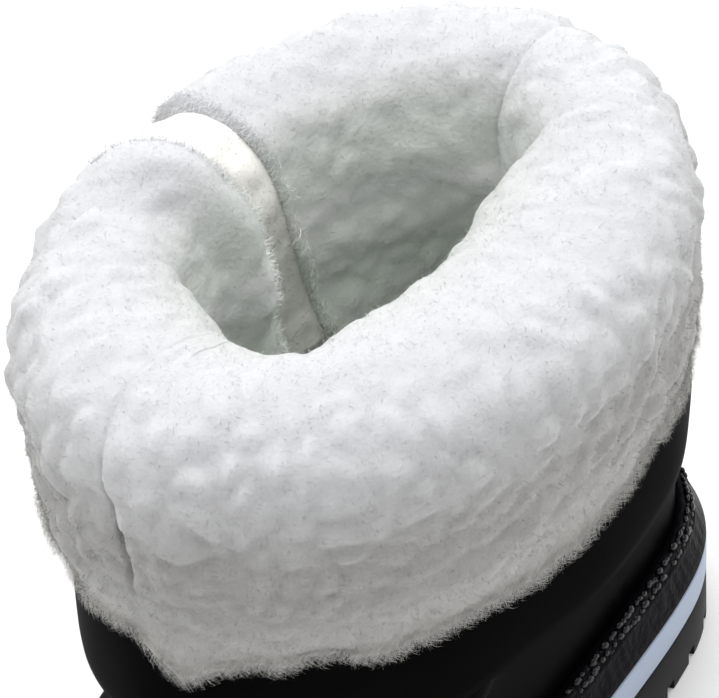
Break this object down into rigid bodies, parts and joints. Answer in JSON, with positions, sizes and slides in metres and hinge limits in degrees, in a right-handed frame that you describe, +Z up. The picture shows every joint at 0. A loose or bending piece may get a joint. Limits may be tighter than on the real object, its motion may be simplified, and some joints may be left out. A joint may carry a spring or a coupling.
{
  "type": "snow boot",
  "caption": "Left snow boot with a turned-down cuff of deep white plush, black upper, pale midsole stripe and lugged rubber sole.",
  "frame": {"origin": "on the ground, on the flat of the sole under the middle of the heel", "axes": "+X to the toe, +Y to the boot's outer side, +Z up"},
  "size_m": [0.3022, 0.1319, 0.205],
  "materials": {
    "outsole": "matt moulded",
    "midsole_stripe": "satin",
    "sidewall": "matt, mottled",
    "insole": "felt",
    "upper": "coated cloth",
    "cuff_band": "smooth cloth",
    "cuff_fleece": "deep plush",
    "zip_facing_front": "short pile",
    "zip_facing_rear": "short pile",
    "zip": "woven tape with teeth"
  },
  "bodies": {
    "root": {"outsole": "outsole", "midsole_stripe": "midsole_stripe", "sidewall": "sidewall", "insole": "insole", "upper": "upper", "cuff_band": "cuff_band", "cuff_fleece": "cuff_fleece", "zip_facing_front": "zip_facing_front", "zip_facing_rear": "zip_facing_rear", "zip": "zip"}
  },
  "joints": []
}
